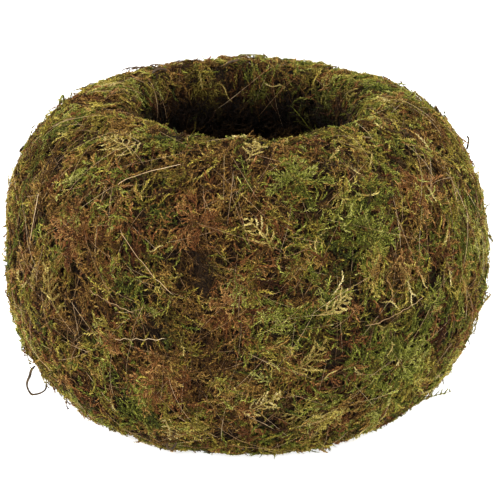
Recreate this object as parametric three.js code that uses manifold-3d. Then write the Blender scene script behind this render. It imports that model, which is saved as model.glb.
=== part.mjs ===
// A hollow moss ball: a squat, open-topped ball of felted sheet moss that stands on a flat spot.
// Millimetres, +Z up. The origin is the centre of the flat base, and the front faces -Y.
//
// The wall is a turned profile with soft lumps. Every frond, spray, stem and loose end is built flat,
// as (along, across, height) over a site on the wall, and is then bent over the wall's own facets.

import * as THREE from 'three';
import { mergeVertices } from 'three/addons/utils/BufferGeometryUtils.js';
import Module from 'manifold-3d';

const wasm = await Module();
wasm.setup();

// ---- Driving dimensions -------------------------------------------------------------------------

const WALL = {
  baseRadius: 58, // flat spot that it rests on
  outerRadius: 97, // widest, at widestHeight
  widestHeight: 57,
  crestRadius: 54, // ring along the top of the rim
  crestHeight: 125,
  neckRadius: 46, // narrowest part of the opening
  neckHeight: 108,
  hollowRadius: 77, // widest inside, at hollowHeight
  hollowHeight: 64,
  floorRadius: 40, // flat floor of the hollow
  floorHeight: 22,
};
// How far each quarter-round stretch of the profile holds its level and its upright direction.
const PULL = {
  belly: [0.64, 0.37],
  shoulder: [0.68, 0.63],
  lip: [0.6, 0.5],
  bowl: [0.6, 0.5],
};
const UNDER_LIP = { downFromNeck: 14, upFromHollow: 20 };

const COLUMNS = 66; // facets round the wall
const RING_COUNTS = { base: 1, outside: 21, rim: 5, hollow: 7 };

const LUMP_HEIGHT = 1.2; // swing of the wall's broad, soft lumps
const CRUMPLE = 0.45; // unevenness from facet to facet
const CUSHION = { count: 190, radius: 15, height: 3 }; // cushions of moss, with creases between
const SEAT_GAP = 0.5; // clear space between the wall and a loose piece that lies on it
const BLADE = 0.9; // thickness of a frond
const ROOT_DEPTH = 2; // how far a grown-in root sinks into the wall
const STRAND_RADIUS = 0.7;
const STEM_RADIUS = 0.5;
const TIP_RADIUS = 0.35; // strands and stems taper to this
const KNOT = { radius: 3.2, halfHeight: 1.4 }; // the small tangle that a spray springs from
const STEM_BRIDGE = 5.2; // a stem bridges the fronds at this height over the wall
const LOWEST = 5; // nothing on the wall lies lower, so that it stands on its flat spot alone
const SEED = 20417;

// The most of each kind that are placed by rule: grown out of the wall all round, or loose at the back.
const GROWN = { fronds: 40, strands: 104 };
const LOOSE_BEHIND = { stems: 5, greenSprays: 2, rustSprays: 1, strawFronds: 3 };
const CANDIDATES = { behind: 260, fronds: 1200, strands: 1600 }; // places tried for them

// Loose pieces seen from the front, placed by azimuth from +X (-90 is the front), in degrees, and by
// height on the outside of the wall. `turn` is the heading of a frond: 0 round the wall, 90 upwards.
const GREEN_SPRAYS = [
  { azimuth: -60, height: 98, reach: 17 },
  { azimuth: -76, height: 117, reach: 14 },
  { azimuth: -52, height: 44, reach: 19 },
  { azimuth: -24, height: 84, reach: 18 },
  { azimuth: -172, height: 120, reach: 15 },
  { azimuth: 36, height: 121, reach: 15 },
];
const RUST_SPRAYS = [
  { azimuth: -103, height: 104, reach: 12 },
  { azimuth: -136, height: 92, reach: 14 },
  { azimuth: -92, height: 72, reach: 14 },
  { azimuth: -112, height: 38, reach: 15 },
  { azimuth: -40, height: 107, reach: 13 },
];
const STRAW_FRONDS = [
  { azimuth: -90, height: 122, turn: 70, reach: 15 },
  { azimuth: -84, height: 94, turn: 120, reach: 16 },
  { azimuth: -80, height: 47, turn: 35, reach: 17 },
  { azimuth: -66, height: 76, turn: 200, reach: 16 },
  { azimuth: -140, height: 60, turn: 100, reach: 18 },
  { azimuth: -92, height: 30, turn: 20, reach: 18 },
];
const STEMS = [
  { from: [-127, 112], to: [-110, 120] },
  { from: [-122, 98], to: [-106, 76] },
  { from: [-130, 74], to: [-116, 68] },
  { from: [-122, 56], to: [-108, 60] },
  { from: [-153, 102], to: [-151, 80] },
  { from: [-14, 60], to: [2, 52] },
  { from: [-62, 62], to: [-44, 68] },
];

// ---- Colours from the photograph ----------------------------------------------------------------

function felt(color) {
  return new THREE.MeshStandardMaterial({ color, roughness: 0.95, metalness: 0 });
}

const MATERIALS = {
  wall: felt(0x6a5a30),
  green: felt(0x62752c),
  rust: felt(0x7c4b25),
  straw: felt(0xa3915a),
  stem: felt(0xa98a68),
  dark: felt(0x4a3a26),
};

// ---- Seeded random numbers ----------------------------------------------------------------------

function randomFrom(seed) {
  let state = seed >>> 0;
  return () => {
    state = (state + 0x6d2b79f5) >>> 0;
    let mixed = Math.imul(state ^ (state >>> 15), state | 1);
    mixed ^= mixed + Math.imul(mixed ^ (mixed >>> 7), mixed | 61);
    return ((mixed ^ (mixed >>> 14)) >>> 0) / 2 ** 32;
  };
}

const random = randomFrom(SEED);
const between = (low, high) => low + (high - low) * random();
const mix = THREE.MathUtils.lerp;
const radians = THREE.MathUtils.degToRad;

// ---- The wall's profile, from the centre of the base to the centre of the hollow's floor --------

const at = (radius, height) => new THREE.Vector2(radius, height);

// A quarter-round stretch that is level at one end and upright at the other.
function quarter(level, upright, levelPull, uprightPull) {
  return new THREE.CubicBezierCurve(
    level,
    at(mix(level.x, upright.x, levelPull), level.y),
    at(upright.x, mix(upright.y, level.y, uprightPull)),
    upright,
  );
}

function reversed(curve) {
  return new THREE.CubicBezierCurve(curve.v3, curve.v2, curve.v1, curve.v0);
}

function pathOf(...curves) {
  const path = new THREE.CurvePath();
  path.curves.push(...curves);
  return path;
}

function profileRings() {
  const baseCentre = at(0, 0);
  const baseEdge = at(WALL.baseRadius, 0);
  const widest = at(WALL.outerRadius, WALL.widestHeight);
  const crest = at(WALL.crestRadius, WALL.crestHeight);
  const neck = at(WALL.neckRadius, WALL.neckHeight);
  const hollowWidest = at(WALL.hollowRadius, WALL.hollowHeight);
  const floorEdge = at(WALL.floorRadius, WALL.floorHeight);
  const floorCentre = at(0, WALL.floorHeight);

  const belly = quarter(baseEdge, widest, ...PULL.belly);
  const shoulder = reversed(quarter(crest, widest, ...PULL.shoulder));
  const lip = quarter(crest, neck, ...PULL.lip);
  const underLip = new THREE.CubicBezierCurve(
    neck,
    at(neck.x, neck.y - UNDER_LIP.downFromNeck),
    at(hollowWidest.x, hollowWidest.y + UNDER_LIP.upFromHollow),
    hollowWidest,
  );
  const bowl = reversed(quarter(floorEdge, hollowWidest, ...PULL.bowl));

  return [
    ...pathOf(new THREE.LineCurve(baseCentre, baseEdge)).getSpacedPoints(RING_COUNTS.base),
    ...pathOf(belly, shoulder).getSpacedPoints(RING_COUNTS.outside).slice(1),
    ...lip.getSpacedPoints(RING_COUNTS.rim).slice(1),
    ...pathOf(underLip, bowl).getSpacedPoints(RING_COUNTS.hollow).slice(1),
    floorCentre,
  ];
}

const RINGS = profileRings();
const LAST_RING = RINGS.length - 1;
const FIRST_OUTSIDE_RING = RING_COUNTS.base;
const CREST_RING = FIRST_OUTSIDE_RING + RING_COUNTS.outside;
const NECK_RING = CREST_RING + RING_COUNTS.rim;
const LUMP_FADE_RINGS = 3;

// Distance along the profile to each ring.
const ARCS = RINGS.reduce((arcs, ring, i) => {
  arcs.push(i === 0 ? 0 : arcs[i - 1] + ring.distanceTo(RINGS[i - 1]));
  return arcs;
}, []);

// The profile's outward direction at a ring: the air is to the right of the way it runs.
const NORMALS = RINGS.map((ring, i) => {
  const before = RINGS[Math.max(i - 1, 0)];
  const after = RINGS[Math.min(i + 1, LAST_RING)];
  return at(after.y - before.y, before.x - after.x).normalize();
});

// ---- The wall's facets --------------------------------------------------------------------------

const LUMP_WAVES = [
  { round: 3, along: 0.021, share: 0.35 },
  { round: -5, along: 0.034, share: 0.3 },
  { round: 8, along: 0.052, share: 0.2 },
  { round: -11, along: 0.083, share: 0.15 },
].map((wave) => ({ ...wave, phase: between(0, 2 * Math.PI) }));

function lump(angle, ring) {
  const fade = THREE.MathUtils.clamp((ring - FIRST_OUTSIDE_RING) / LUMP_FADE_RINGS, 0, 1);
  const wave = (sum, { round, along, share, phase }) =>
    sum + share * Math.sin(round * angle + along * ARCS[ring] + phase);
  return LUMP_HEIGHT * fade * LUMP_WAVES.reduce(wave, 0) * (ring < LAST_RING - 1 ? 1 : 0);
}

function turned(radius, height, angle) {
  return new THREE.Vector3(radius * Math.cos(angle), radius * Math.sin(angle), height);
}

function ringAtArc(arc) {
  const above = ARCS.findIndex((value) => value > arc);
  const low = Math.max(above - 1, 0);
  return low + (arc - ARCS[low]) / (ARCS[low + 1] - ARCS[low]);
}

function profileAt(arc) {
  const ring = ringAtArc(arc);
  const low = Math.floor(ring);
  return RINGS[low].clone().lerp(RINGS[low + 1], ring - low);
}

const radiusAtArc = (arc) => profileAt(arc).x;

// Places spread evenly over a stretch of the wall by the golden angle, in a mixed order.
function evenSites(count, firstArc, lastArc) {
  const golden = Math.PI * (3 - Math.sqrt(5));
  const slices = 200;
  const arcs = Array.from({ length: slices }, (_, i) => mix(firstArc, lastArc, i / (slices - 1)));
  const areas = arcs.reduce((sums, arc) => [...sums, (sums.at(-1) ?? 0) + radiusAtArc(arc)], []);
  const sites = Array.from({ length: count }, (_, k) => {
    const wanted = ((k + 0.5) / count) * areas.at(-1);
    const arc = arcs[areas.findIndex((area) => area >= wanted)];
    return { angle: k * golden, arc, turn: between(0, 2 * Math.PI), order: random() };
  });
  return sites.sort((a, b) => a.order - b.order);
}

const CUSHION_CENTRES = evenSites(CUSHION.count, ARCS[FIRST_OUTSIDE_RING + 1], ARCS[NECK_RING])
  .map(({ angle, arc }) => turned(profileAt(arc).x, profileAt(arc).y, angle));

// Height of the moss cushion round the nearest centre.
function cushion(place) {
  const nearest = Math.min(...CUSHION_CENTRES.map((centre) => centre.distanceTo(place)));
  return CUSHION.height * Math.max(0, 1 - (nearest / CUSHION.radius) ** 2);
}

const GRID = RINGS.map((ring, i) =>
  Array.from({ length: COLUMNS }, (_, column) => {
    const angle = (column / COLUMNS) * 2 * Math.PI;
    const isMossy = i > FIRST_OUTSIDE_RING && i < NECK_RING;
    const moss = isMossy ? cushion(turned(ring.x, ring.y, angle)) + between(-CRUMPLE, CRUMPLE) : 0;
    const swell = lump(angle, i) + moss;
    const height = ring.y + swell * NORMALS[i].y;
    return turned(ring.x + swell * NORMALS[i].x, Math.max(height, ring.y > 0 ? 0.3 : 0), angle);
  }));

// The point on the wall's facets at a column and a ring, both with fractions.
function facetPoint(column, ring) {
  const low = Math.min(Math.floor(ring), LAST_RING - 1);
  const left = Math.floor(column);
  const across = column - left;
  const up = ring - low;
  const wrap = (index) => ((index % COLUMNS) + COLUMNS) % COLUMNS;
  const start = GRID[low][wrap(left)];
  const end = GRID[low + 1][wrap(left + 1)];
  const corner = across >= up ? GRID[low][wrap(left + 1)] : GRID[low + 1][wrap(left)];
  const first = across >= up ? across : up;
  const second = across >= up ? up : across;
  return start.clone()
    .addScaledVector(corner.clone().sub(start), first)
    .addScaledVector(end.clone().sub(corner), second);
}

function arcAtHeight(height) {
  for (let i = FIRST_OUTSIDE_RING; i < CREST_RING; i += 1) {
    if (RINGS[i + 1].y >= height) {
      return mix(ARCS[i], ARCS[i + 1], (height - RINGS[i].y) / (RINGS[i + 1].y - RINGS[i].y));
    }
  }
  return ARCS[CREST_RING];
}

// A site is a place on the wall. Its own frame has x along the heading, y to the left of it along the
// wall, and z away from the wall.
function siteAt(azimuth, arc, turn = 0) {
  return { angle: radians(azimuth), arc, turn: radians(turn) };
}

function siteOnOutside(azimuth, height, turn = 0) {
  return siteAt(azimuth, arcAtHeight(height), turn);
}

function overWall(site, [x, y, height]) {
  const round = x * Math.cos(site.turn) - y * Math.sin(site.turn);
  const upwards = x * Math.sin(site.turn) + y * Math.cos(site.turn);
  const arc = site.arc + upwards;
  const angle = site.angle + round / radiusAtArc(arc);
  const ring = ringAtArc(arc);
  const low = Math.floor(ring);
  const normal = NORMALS[low].clone().lerp(NORMALS[low + 1], ring - low).normalize();
  return facetPoint((angle / (2 * Math.PI)) * COLUMNS, ring)
    .add(turned(normal.x, normal.y, angle).multiplyScalar(height));
}

// ---- Solids -------------------------------------------------------------------------------------

function solid(points, faces) {
  const geometry = new THREE.BufferGeometry();
  geometry.setAttribute('position', new THREE.Float32BufferAttribute(points.flatMap((p) => p.toArray()), 3));
  geometry.setIndex(faces.flat());
  const merged = mergeVertices(geometry);
  return new wasm.Manifold(new wasm.Mesh({
    numProp: 3,
    vertProperties: merged.attributes.position.array,
    triVerts: new Uint32Array(merged.index.array),
  }));
}

function fused(solids) {
  return solids.reduce((whole, next) => whole.add(next));
}

function meshOf(name, body, look) {
  const { vertProperties, triVerts } = body.getMesh();
  const geometry = new THREE.BufferGeometry();
  geometry.setAttribute('position', new THREE.BufferAttribute(vertProperties, 3));
  geometry.setIndex(new THREE.BufferAttribute(triVerts, 1));
  geometry.computeVertexNormals();
  const mesh = new THREE.Mesh(geometry, look);
  mesh.name = name;
  return mesh;
}

function wallSolid() {
  const points = GRID.slice(1, LAST_RING).flat();
  const index = (ring, column) => (ring - 1) * COLUMNS + (column % COLUMNS);
  const baseCentre = points.push(GRID[0][0]) - 1;
  const floorCentre = points.push(GRID[LAST_RING][0]) - 1;
  const faces = [];
  for (let column = 0; column < COLUMNS; column += 1) {
    faces.push([baseCentre, index(1, column + 1), index(1, column)]);
    faces.push([floorCentre, index(LAST_RING - 1, column), index(LAST_RING - 1, column + 1)]);
    for (let ring = 1; ring < LAST_RING - 1; ring += 1) {
      const opposite = index(ring + 1, column + 1);
      faces.push([index(ring, column), index(ring, column + 1), opposite]);
      faces.push([index(ring, column), opposite, index(ring + 1, column)]);
    }
  }
  return solid(points, faces);
}

// A pinnate frond, as one thin blade with its leaflets cut to the rib. `heightAt(share)` is the top of
// the rib over the wall at a share of the length, and the leaflets hang `droop` lower at their tips.
function frond(site, { start = 0, length, pairs, stalk, leaflet, droop, curl, heightAt }) {
  const ribHalf = (share) => mix(0.75, 0.45, share);
  const bend = (x, y) => {
    const radius = length / curl;
    const angle = x / radius;
    return [(radius - y) * Math.sin(angle), radius - (radius - y) * Math.cos(angle)];
  };
  const points = [];
  const add = (share, across, lower) => {
    const [x, y] = bend(start + share * (length - start), across);
    points.push(overWall(site, [x, y, heightAt(share) - lower]));
    points.push(overWall(site, [x, y, heightAt(share) - lower - BLADE]));
    return points.length - 2;
  };

  const left = [add(0, ribHalf(0), 0)];
  const right = [add(0, -ribHalf(0), 0)];
  const tips = { left: [], right: [] };
  const step = (0.9 - stalk) / pairs;
  for (let pair = 0; pair <= pairs; pair += 1) {
    const share = stalk + pair * step;
    left.push(add(share, ribHalf(share), 0));
    right.push(add(share, -ribHalf(share), 0));
    if (pair < pairs) {
      const out = ribHalf(share) + leaflet * Math.sin(Math.PI * mix(0.3, 0.9, pair / pairs));
      tips.left.push(add(share + 1.5 * step, out, droop));
      tips.right.push(add(share + 1.3 * step, -out * 0.9, droop));
    }
  }
  const apex = add(1, 0, 0);

  const faces = [];
  const slab = (a, b, c) => faces.push([a, b, c], [c + 1, b + 1, a + 1]);
  const rim = [];
  for (let i = 0; i < left.length - 1; i += 1) {
    slab(left[i], right[i], right[i + 1]);
    slab(left[i], right[i + 1], left[i + 1]);
    if (i > 0) {
      slab(left[i], left[i + 1], tips.left[i - 1]);
      slab(right[i + 1], right[i], tips.right[i - 1]);
    }
  }
  slab(left.at(-1), right.at(-1), apex);
  right.forEach((vertex, i) => rim.push(vertex, ...(i > 0 && i <= pairs ? [tips.right[i - 1]] : [])));
  rim.push(apex);
  const back = left.flatMap((vertex, i) => (i > 0 && i <= pairs ? [vertex, tips.left[i - 1]] : [vertex]));
  rim.push(...back.reverse());
  rim.forEach((vertex, i) => {
    const next = rim[(i + 1) % rim.length];
    faces.push([vertex, vertex + 1, next], [next, vertex + 1, next + 1]);
  });
  return solid(points, faces);
}

// A round stem or root along a route of [x, y, height] points over a site, tapering to its far end.
function tube(site, route, { startRadius, endRadius, steps, sides }) {
  const curve = new THREE.CatmullRomCurve3(route.map((place) => overWall(site, place)));
  const centres = curve.getSpacedPoints(steps);
  const { normals, binormals } = curve.computeFrenetFrames(steps);
  const points = centres.flatMap((centre, i) =>
    Array.from({ length: sides }, (_, side) => {
      const angle = (side / sides) * 2 * Math.PI;
      const radius = mix(startRadius, endRadius, i / steps);
      return centre.clone()
        .addScaledVector(normals[i], radius * Math.cos(angle))
        .addScaledVector(binormals[i], radius * Math.sin(angle));
    }));
  const faces = [];
  const last = steps * sides;
  for (let side = 1; side < sides - 1; side += 1) {
    faces.push([0, side + 1, side], [last, last + side, last + side + 1]);
  }
  for (let i = 0; i < steps; i += 1) {
    for (let side = 0; side < sides; side += 1) {
      const a = i * sides + side;
      const b = i * sides + ((side + 1) % sides);
      faces.push([a, b, b + sides], [a, b + sides, a + sides]);
    }
  }
  return solid(points, faces);
}

function knot(site, { radius, halfHeight }) {
  const bare = new THREE.IcosahedronGeometry(1).deleteAttribute('normal').deleteAttribute('uv');
  const ball = mergeVertices(bare);
  const { position } = ball.attributes;
  const points = Array.from({ length: position.count }, (_, i) => overWall(site, [
    radius * position.getX(i),
    radius * position.getY(i),
    SEAT_GAP + 0.1 + halfHeight * (1 + position.getZ(i)),
  ]));
  const corners = Array.from(ball.index.array);
  const faces = Array.from({ length: corners.length / 3 }, (_, i) => corners.slice(3 * i, 3 * i + 3));
  return solid(points, faces);
}

// ---- Where things lie: nothing is placed on ground that is taken -------------------------------

const taken = [];

function ground(site, x, y, radius) {
  return { centre: overWall(site, [x, y, 0]), radius };
}

function isFree(circles) {
  return circles.every(({ centre, radius }) => centre.z > LOWEST + radius / 2
    && taken.every((other) => centre.distanceTo(other.centre) > radius + other.radius));
}

const sprayGround = (site, reach) => [ground(site, 0, 0, reach + 0.5)];
const strandGround = (site, reach) => [0, 0.4, 0.8].map((share) =>
  ground(site, share * reach, 0, 0.22 * reach));
const frondGround = (site, reach) => [0.2, 0.5, 0.8].map((share) =>
  ground(site, share * reach, 0.1 * reach * share, 0.36 * reach));

// ---- Pieces -------------------------------------------------------------------------------------

const REST_TOP = 2.3; // top of a loose frond's rib over the wall, where it lies closest

function sprayAt(site, reach) {
  const count = Math.round(reach / 4);
  const fronds = Array.from({ length: count }, (_, i) => {
    const turn = (i + between(-0.12, 0.12)) * ((2 * Math.PI) / count);
    const arch = between(0.5, 1.2);
    return frond({ ...site, turn: site.turn + turn }, {
      start: 1.4,
      length: reach * between(0.86, 1),
      pairs: 3,
      stalk: 0.2,
      leaflet: 0.28 * reach,
      droop: 0.5,
      curl: between(0.15, 0.4),
      heightAt: (share) => REST_TOP + arch * Math.sin(Math.PI * share),
    });
  });
  return fused([knot(site, KNOT), ...fronds]);
}

// A single frond that lies on the wall, seated at its root, with its tip free to lift.
function looseFrond(site, reach, tipLift = 0) {
  const stalk = 0.12;
  return frond(site, {
    length: reach,
    pairs: 5,
    stalk,
    leaflet: 0.27 * reach,
    droop: 0.5,
    curl: between(0.15, 0.35),
    heightAt: (share) => (share < stalk
      ? mix(SEAT_GAP + BLADE, REST_TOP, share / stalk)
      : REST_TOP + 0.8 * Math.sin(Math.PI * share) + tipLift * share ** 2),
  });
}

// A frond that grows out of the wall: its root is sunk, and it comes up before its first leaflets.
function grownFrond(site, reach) {
  const arch = between(0.3, 1.3);
  const stalk = 0.24;
  return frond(site, {
    length: reach,
    pairs: 3,
    stalk,
    leaflet: 0.36 * reach,
    droop: 0.5,
    curl: between(0.15, 0.35),
    heightAt: (share) => (share < stalk
      ? mix(BLADE - ROOT_DEPTH, REST_TOP, share / stalk)
      : REST_TOP + arch * Math.sin(Math.PI * share)),
  });
}

// A dry strand that grows out of the wall and curls over it.
function grownStrand(site, reach) {
  const lift = between(2, 4.5);
  const side = between(-0.12, 0.12) * reach;
  const route = [[0, 0, -ROOT_DEPTH], [0.45 * reach, side, 2.4], [reach, 0, lift]];
  return tube(site, route, { startRadius: STRAND_RADIUS, endRadius: TIP_RADIUS, steps: 2, sides: 3 });
}

// A straight stem's way over the wall, from one place to the other.
function stemRoute({ from: [fromAzimuth, fromHeight], to: [toAzimuth, toHeight] }) {
  const site = siteOnOutside(fromAzimuth, fromHeight);
  const rise = arcAtHeight(toHeight) - site.arc;
  const round = radians(toAzimuth - fromAzimuth) * radiusAtArc(site.arc + rise / 2);
  return { site, round, rise };
}

function stemAlong({ site, round, rise }) {
  const seat = SEAT_GAP + STEM_RADIUS;
  const low = STEM_BRIDGE * 0.8;
  const heights = [seat, low, STEM_BRIDGE, STEM_BRIDGE, STEM_BRIDGE, low, seat];
  const route = heights.map((height, i) => {
    const share = i / (heights.length - 1);
    return [share * round, share * rise, height];
  });
  return tube(site, route, { startRadius: STEM_RADIUS, endRadius: TIP_RADIUS, steps: 8, sides: 3 });
}

// Loose ends that break the outline. Each stands on its own site, with the wall below it.
const wire = { startRadius: 0.55, endRadius: TIP_RADIUS, steps: 5, sides: 4 };
const fineWire = { startRadius: 0.45, endRadius: TIP_RADIUS, steps: 8, sides: 4 };
const FOOT = SEAT_GAP + wire.startRadius;

const LOOSE_ENDS = [
  {
    name: 'twig_on_back_rim', look: 'dark', azimuth: 101, height: 125,
    build: (site) => tube(site, [[0, 0, FOOT], [-1, 1, 3], [-3, 2, 5], [-5.5, 2, 6.5]], wire),
  },
  {
    name: 'bark_bit_on_left_rim', look: 'dark', azimuth: 134, height: 125,
    build: (site) => tube(site, [[-5, 0, FOOT], [-2, 0, 2.4], [2, 0, 2.6], [6, 1, 3.4]], wire),
  },
  {
    name: 'curled_sprig_upper_left', look: 'straw', azimuth: 163, height: 117,
    build: (site) => tube(site, [[0, 0, FOOT], [0, 1, 3], [2, 3, 5], [4, 2, 5.5], [4, 0, 4.5]], wire),
  },
  {
    name: 'spur_at_left', look: 'dark', azimuth: -171, height: 60,
    build: (site) => tube(site, [[0, 0, FOOT], [0, -1, 1.8], [0, -2.5, 2.6]], wire),
  },
  {
    name: 'hook_at_right', look: 'dark', azimuth: 6, height: 103,
    build: (site) => tube(site, [[0, 0, FOOT], [0, 1, 2.5], [0, 3, 3.5], [0, 4.5, 3]], wire),
  },
  {
    name: 'root_loop_lower_left', look: 'dark', azimuth: -163, height: 21,
    build: (site) => tube(site, [
      [0, 3, FOOT], [0, 2, 4], [0, -1, 8], [0.5, -4.5, 9], [1, -7, 6.5], [1, -7, 3], [1, -5, FOOT + 0.2],
    ], { ...fineWire, steps: 12 }),
  },
  {
    name: 'root_loop_at_foot', look: 'dark', azimuth: -112, height: 9,
    build: (site) => tube(site, [
      [-2.5, 2, FOOT], [-2, 1, 2.6], [0, 0, 3.6], [2, 1, 2.6], [2.5, 2, FOOT],
    ], fineWire),
  },
  {
    name: 'upper_tuft_at_left', look: 'green', azimuth: -170, height: 39, turn: 160,
    build: (site) => looseFrond(site, 10, 4),
  },
  {
    name: 'lower_tuft_at_left', look: 'green', azimuth: -169, height: 31, turn: -150,
    build: (site) => looseFrond(site, 9, 4),
  },
  {
    name: 'tuft_at_upper_right', look: 'straw', azimuth: 14, height: 118, turn: 100,
    build: (site) => looseFrond(site, 10, 4),
  },
  {
    name: 'sprig_at_right', look: 'straw', azimuth: -15, height: 46, turn: 30,
    build: (site) => looseFrond(site, 9, 4),
  },
  {
    name: 'bright_sprig_lower_right', look: 'green', azimuth: -31, height: 12, turn: 25,
    build: (site) => looseFrond(site, 14, 7),
  },
];

const BEHIND = radians(112); // the rule places loose pieces this far to both sides of the back
const isBehind = (site) => Math.cos(site.angle - Math.PI / 2) > Math.cos(BEHIND);
const numbered = (name, number) => `${name}_${String(number).padStart(2, '0')}`;

// Builds a piece at each site whose ground is still free, up to `most` of them.
function placeEach(sites, most, groundOf, build) {
  let placed = 0;
  sites.forEach((site) => {
    const circles = groundOf(site);
    if (placed < most && isFree(circles)) {
      taken.push(...circles);
      placed += 1;
      build(site);
    }
  });
}

const planter = new THREE.Group();

function addKind(name, look, sites, most, groundOf, shapeOf) {
  let number = planter.children.filter((mesh) => mesh.name.startsWith(name)).length;
  placeEach(sites, most, groundOf, (site) => {
    number += 1;
    planter.add(meshOf(numbered(name, number), shapeOf(site), MATERIALS[look]));
  });
}

function addLooseEnds() {
  LOOSE_ENDS.forEach(({ name, look, azimuth, height, turn, build }) => {
    const site = siteOnOutside(azimuth, height, turn);
    taken.push(ground(site, 0, 0, 5), ground(site, 5, 0, 3));
    planter.add(meshOf(name, build(site), MATERIALS[look]));
  });
}

const stemGround = ({ site, round, rise }) => [ground(site, 0, 0, 4), ground(site, round, rise, 4)];
const fromList = (list) => list.map((piece) => ({
  ...siteOnOutside(piece.azimuth, piece.height, piece.turn),
  reach: piece.reach,
}));

// Stems of a fair length that start at some of the sites and stay on the outside of the wall.
function stemsAmong(sites, firstArc) {
  return sites.map((site) => {
    const length = between(24, 40);
    const heading = between(-0.8, 0.8);
    const [round, rise] = [length * Math.cos(heading), length * Math.sin(heading)];
    return { site: { ...site, turn: 0 }, round, rise };
  }).filter(({ site, rise }) => site.arc + rise > firstArc && site.arc + rise < ARCS[CREST_RING]);
}

const withReach = (sites, low, high) => sites.map((site) => ({ ...site, reach: between(low, high) }));

function addEverything() {
  const firstArc = arcAtHeight(LOWEST);
  const lastArc = ARCS[NECK_RING - 2];
  const behind = evenSites(CANDIDATES.behind, firstArc, ARCS[CREST_RING]).filter(isBehind);
  const allRound = (count, low, high) => withReach(evenSites(count, firstArc, lastArc), low, high);
  const sprayRoom = (site) => sprayGround(site, site.reach);
  const frondRoom = (site) => frondGround(site, site.reach);
  const strandRoom = (site) => strandGround(site, site.reach);
  const spray = (site) => sprayAt(site, site.reach);
  const single = (site) => looseFrond(site, site.reach);

  addLooseEnds();
  addKind('grass_stem', 'stem', STEMS.map(stemRoute), STEMS.length, stemGround, stemAlong);
  addKind('green_spray', 'green', fromList(GREEN_SPRAYS), GREEN_SPRAYS.length, sprayRoom, spray);
  addKind('rust_spray', 'rust', fromList(RUST_SPRAYS), RUST_SPRAYS.length, sprayRoom, spray);
  addKind('straw_frond', 'straw', fromList(STRAW_FRONDS), STRAW_FRONDS.length, frondRoom, single);

  addKind('grass_stem', 'stem', stemsAmong(behind, firstArc), LOOSE_BEHIND.stems, stemGround, stemAlong);
  addKind('green_spray', 'green', withReach(behind, 19, 22), LOOSE_BEHIND.greenSprays, sprayRoom, spray);
  addKind('rust_spray', 'rust', withReach(behind, 18, 21), LOOSE_BEHIND.rustSprays, sprayRoom, spray);
  addKind('straw_frond', 'straw', withReach(behind, 15, 19), LOOSE_BEHIND.strawFronds, frondRoom, single);

  const grown = [];
  const frondSites = allRound(CANDIDATES.fronds, 23, 28);
  const strandSites = allRound(CANDIDATES.strands, 12, 17);
  placeEach(frondSites, GROWN.fronds, frondRoom, (site) => grown.push(grownFrond(site, site.reach)));
  placeEach(strandSites, GROWN.strands, strandRoom, (site) => grown.push(grownStrand(site, site.reach)));
  planter.add(meshOf('moss_wall', fused([wallSolid(), ...grown]), MATERIALS.wall));
}

addEverything();

export default planter;
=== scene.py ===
"""A hollow moss ball: a squat, open-topped ball of felted sheet moss on a flat spot.

Metres, +Z up, the front faces -Y. Everything that lies on the wall is laid out on a chart of it:
`angle` round the axis, `arc` along the wall's profile from the centre of the base over the rim to the
middle of the hollow's floor, and `height` away from the wall.
"""

import math
from collections import namedtuple

import bmesh
import bpy
import numpy as np
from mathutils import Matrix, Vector
from mathutils.bvhtree import BVHTree


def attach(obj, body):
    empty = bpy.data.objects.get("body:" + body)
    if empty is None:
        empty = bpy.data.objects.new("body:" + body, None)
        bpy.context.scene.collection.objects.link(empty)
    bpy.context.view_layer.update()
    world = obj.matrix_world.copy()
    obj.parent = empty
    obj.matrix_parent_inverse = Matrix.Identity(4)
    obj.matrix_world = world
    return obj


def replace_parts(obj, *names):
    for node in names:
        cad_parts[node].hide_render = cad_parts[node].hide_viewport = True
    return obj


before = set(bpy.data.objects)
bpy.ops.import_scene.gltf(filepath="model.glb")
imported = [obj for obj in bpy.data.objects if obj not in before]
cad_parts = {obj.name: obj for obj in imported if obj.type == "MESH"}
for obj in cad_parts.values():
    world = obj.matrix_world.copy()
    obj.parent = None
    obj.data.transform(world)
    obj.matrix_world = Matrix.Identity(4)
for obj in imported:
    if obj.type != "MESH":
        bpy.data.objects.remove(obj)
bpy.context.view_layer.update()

MM = 0.001
SEED = 8131
rng = np.random.default_rng(SEED)

# ---- The wall's profile, in millimetres from the axis and from the floor ----

BASE_EDGE = (58, 0)
WIDEST = (97, 57)
CREST = (54, 125)
NECK = (46, 108)
HOLLOW_WIDEST = (77, 64)
FLOOR_EDGE = (40, 22)
PULL = {"belly": (0.64, 0.37), "shoulder": (0.68, 0.63), "lip": (0.6, 0.5), "bowl": (0.6, 0.5)}
UNDER_LIP = {"down_from_neck": 14, "up_from_hollow": 20}
LIP_RADIUS = 12  # about how tightly the wall turns over the rim

ROWS = 420  # samples along the profile
STRETCH_POINTS = 200  # points on each curved stretch of it


def quarter(level, upright, level_pull, upright_pull):
    """Controls of a quarter-round stretch, level at one end and upright at the other."""
    return (
        level,
        (level[0] + (upright[0] - level[0]) * level_pull, level[1]),
        (upright[0], upright[1] + (level[1] - upright[1]) * upright_pull),
        upright,
    )


def bezier(controls):
    p0, p1, p2, p3 = (np.array(p, float) for p in controls)
    t = np.linspace(0, 1, STRETCH_POINTS)[:, None]
    return (1 - t) ** 3 * p0 + 3 * (1 - t) ** 2 * t * p1 + 3 * (1 - t) * t**2 * p2 + t**3 * p3


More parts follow.
